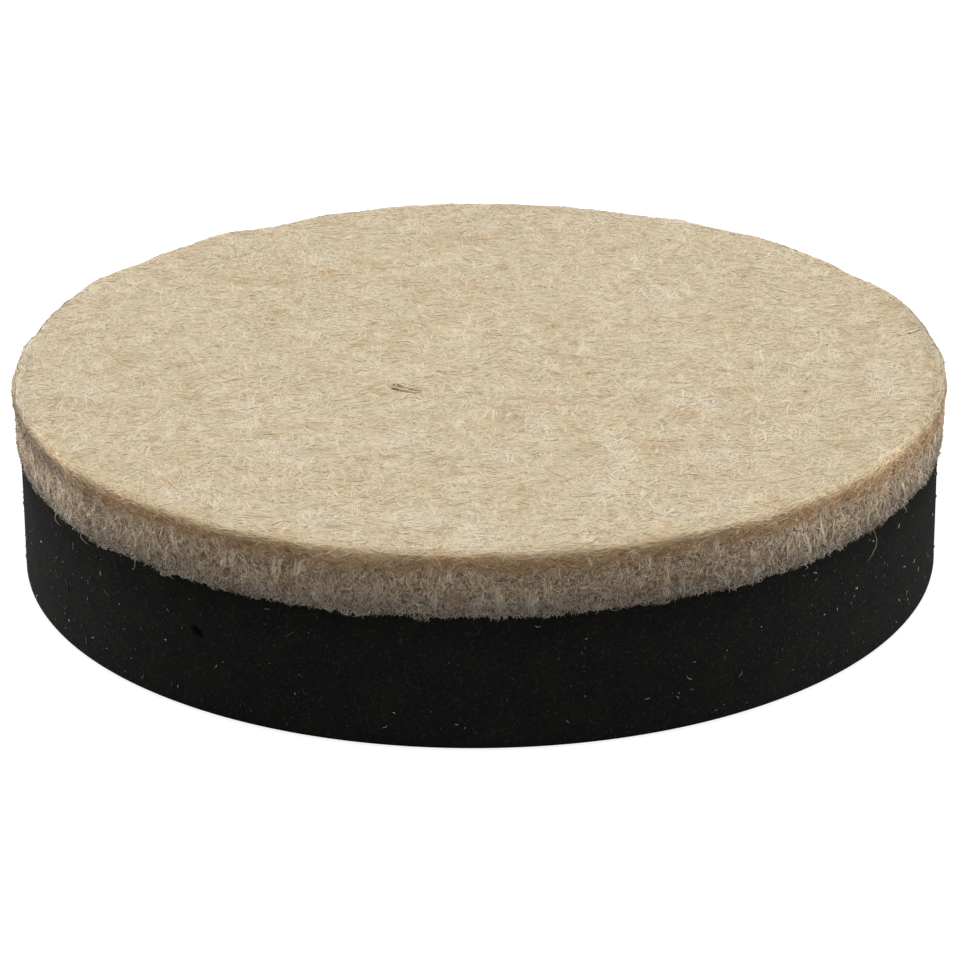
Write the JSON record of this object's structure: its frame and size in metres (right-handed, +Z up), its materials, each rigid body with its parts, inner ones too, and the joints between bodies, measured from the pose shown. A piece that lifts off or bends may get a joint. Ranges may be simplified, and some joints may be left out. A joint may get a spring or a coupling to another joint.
{
  "type": "felt furniture pad",
  "caption": "Round furniture pad: a beige needled felt disc bonded on a thicker black rubber disc, flat on both faces.",
  "frame": {"origin": "centre of the rubber's flat underside, where the pad rests", "axes": "+Z up through the pad's thickness, from the rubber to the felt; the pad is round, so X and Y are free"},
  "size_m": [0.0507, 0.0507, 0.011],
  "materials": {
    "black_rubber": "matte",
    "beige_felt": "matte"
  },
  "bodies": {
    "root": {"rubber_disc": "black_rubber", "felt_disc": "beige_felt"}
  },
  "joints": []
}
